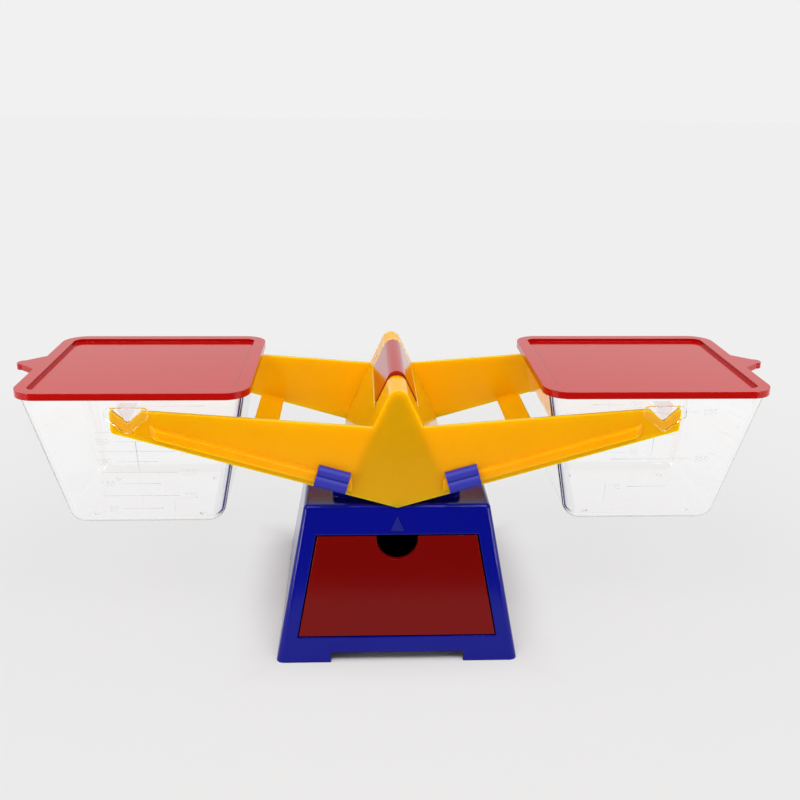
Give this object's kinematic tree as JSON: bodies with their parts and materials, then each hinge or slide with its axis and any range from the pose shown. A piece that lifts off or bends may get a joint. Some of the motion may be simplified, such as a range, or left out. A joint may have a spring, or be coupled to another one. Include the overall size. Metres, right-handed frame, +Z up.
{
  "type": "bucket balance",
  "caption": "Two-pan classroom balance: a rocking beam on a base with a drawer, clear graduated buckets with lids that hang from knife edges, and sliding compensators for zeroing.",
  "frame": {"origin": "on the table, under the middle of the base", "axes": "+X to the right along the beam, -Y towards the drawer front, +Z up"},
  "size_m": [0.406, 0.146, 0.146],
  "materials": {
    "blue": "glossy deep blue moulded plastic",
    "red": "glossy red moulded plastic",
    "yellow": "glossy yellow moulded plastic",
    "clear": "clear moulded plastic",
    "steel": "bright steel"
  },
  "bodies": {
    "base": {"base_shell": "blue", "floor_plate": "blue", "floor_screws": "steel", "fulcrum_post": "blue", "post_screws": "steel", "fulcrum_cap": "red", "pivot_pin": "steel"},
    "drawer": {"drawer": "red"},
    "beam": {"beam": "yellow"},
    "slider_left": {"slider_left": "blue"},
    "slider_right": {"slider_right": "blue"},
    "bucket_left": {"bucket_left": "clear"},
    "bucket_right": {"bucket_right": "clear"},
    "lid_left": {"lid_left": "red"},
    "lid_right": {"lid_right": "red"}
  },
  "joints": [
    {"name": "beam_tilt", "type": "hinge", "parent": "base", "child": "beam", "pos_m": [0, 0, 0.1384], "axis": [0, 1, 0], "range_deg": [-10, 10]},
    {"name": "drawer_slide", "type": "slide", "parent": "base", "child": "drawer", "axis": [0, -1, 0], "range_m": [0, 0.095]},
    {"name": "bucket_left_swing", "type": "hinge", "parent": "beam", "child": "bucket_left", "pos_m": [-0.1328, 0, 0.1289], "axis": [0, -1, 0], "range_deg": [-15, 10]},
    {"name": "lid_left_lift", "type": "slide", "parent": "bucket_left", "child": "lid_left", "axis": [0, 0, 1], "range_m": [0, 0.04]},
    {"name": "slider_left_travel", "type": "slide", "parent": "beam", "child": "slider_left", "axis": [-0.9604, 0, 0.2785], "range_m": [0, 0.078]},
    {"name": "bucket_right_swing", "type": "hinge", "parent": "beam", "child": "bucket_right", "pos_m": [0.1328, 0, 0.1289], "axis": [0, 1, 0], "range_deg": [-15, 10]},
    {"name": "lid_right_lift", "type": "slide", "parent": "bucket_right", "child": "lid_right", "axis": [0, 0, 1], "range_m": [0, 0.04]},
    {"name": "slider_right_travel", "type": "slide", "parent": "beam", "child": "slider_right", "axis": [0.9604, 0, 0.2785], "range_m": [0, 0.078]}
  ]
}
